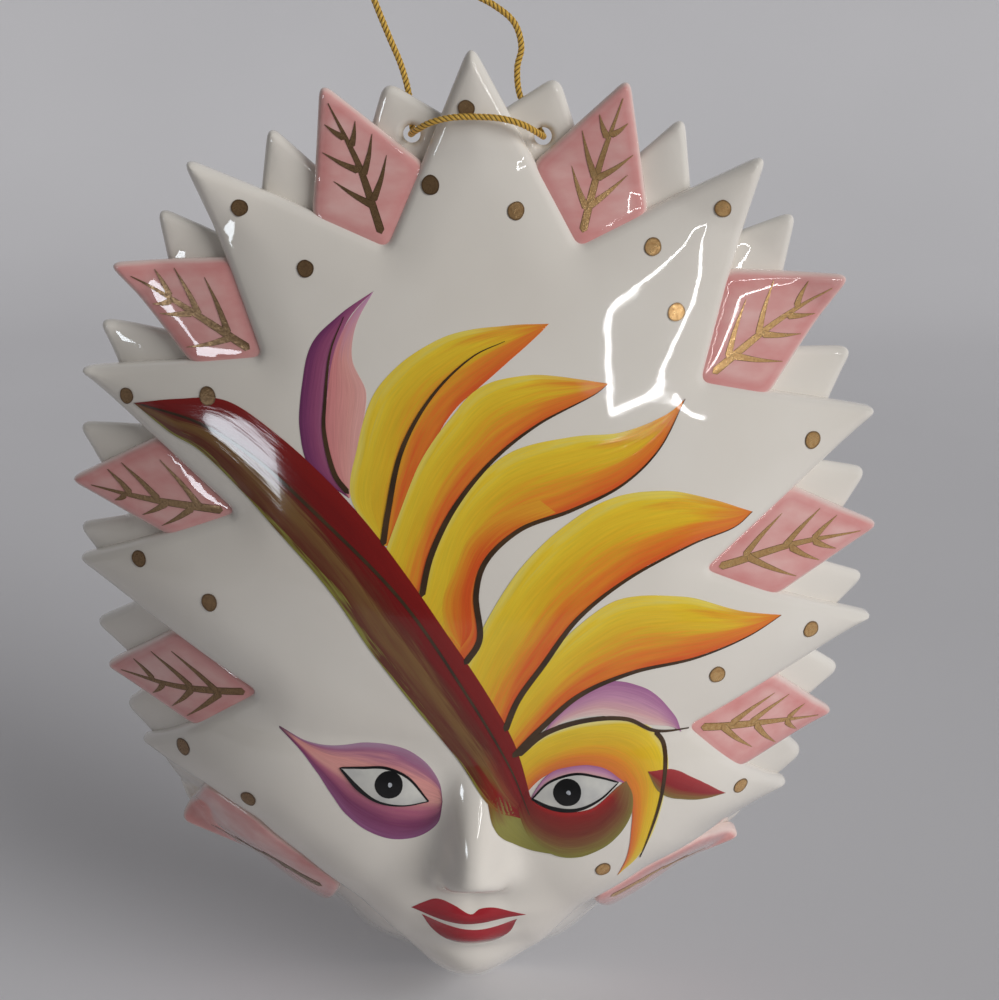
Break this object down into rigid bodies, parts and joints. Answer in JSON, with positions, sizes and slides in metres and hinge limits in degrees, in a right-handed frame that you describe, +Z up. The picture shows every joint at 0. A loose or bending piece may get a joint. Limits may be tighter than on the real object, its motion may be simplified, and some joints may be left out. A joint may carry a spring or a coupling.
{
  "type": "venetian masquerade wall mask",
  "caption": "Glazed ceramic wall mask with a pointed sunburst outline, leaf panels and a painted face, hung by a metallic cord.",
  "frame": {"origin": "on the flat back rim, midway between the centres of the two cord holes", "axes": "+Z up, the mask faces -Y, and the wall it hangs on is the plane Y = 0"},
  "size_m": [0.2107, 0.0638, 0.296],
  "materials": {
    "white_glaze": "glossy white glaze with hand-painted feathers, face and lustre dots",
    "pink_glaze": "glossy brushed pink glaze with lustre leaf veins",
    "gold_cord": "twisted metallic gold thread"
  },
  "bodies": {
    "mask": {"face_shell": "white_glaze", "ray_ring": "white_glaze", "leaf_left_1": "pink_glaze", "leaf_left_2": "pink_glaze", "leaf_left_3": "pink_glaze", "leaf_left_4": "pink_glaze", "leaf_left_5": "pink_glaze", "leaf_right_1": "pink_glaze", "leaf_right_2": "pink_glaze", "leaf_right_3": "pink_glaze", "leaf_right_4": "pink_glaze", "leaf_right_5": "pink_glaze", "cord_front_span": "gold_cord"},
    "hanging_loop": {"cord_left_leg": "gold_cord", "cord_right_leg": "gold_cord", "cord_knot": "gold_cord"}
  },
  "joints": [
    {"name": "loop_swing", "type": "hinge", "parent": "mask", "child": "hanging_loop", "pos_m": [0, 0.0012, 0], "axis": [-1, 0, 0], "range_deg": [0, 170]}
  ]
}
